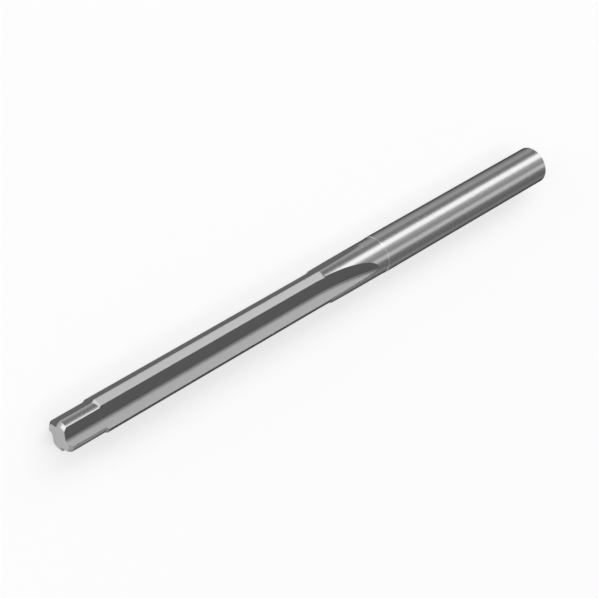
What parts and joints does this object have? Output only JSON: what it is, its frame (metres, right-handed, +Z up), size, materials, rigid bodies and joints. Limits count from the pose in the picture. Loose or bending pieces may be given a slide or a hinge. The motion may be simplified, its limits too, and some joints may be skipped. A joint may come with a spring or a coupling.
{
  "type": "machine reamer",
  "caption": "Solid straight-fluted machine reamer with a guiding pilot, flat relieved body lands, a short neck and a plain cylindrical shank for a collet.",
  "frame": {"origin": "middle of the reamer's length, on the surface it lies on, below its axis", "axes": "+X along the reamer's axis towards the cutting tip, +Z up from the surface it lies on"},
  "size_m": [0.0976, 0.006, 0.006],
  "materials": {
    "ground_carbide": "fine ground grey cemented carbide, with lengthwise lines on flutes and lands and round lines on the shank"
  },
  "bodies": {
    "root": {"machine_reamer": "ground_carbide"}
  },
  "joints": []
}
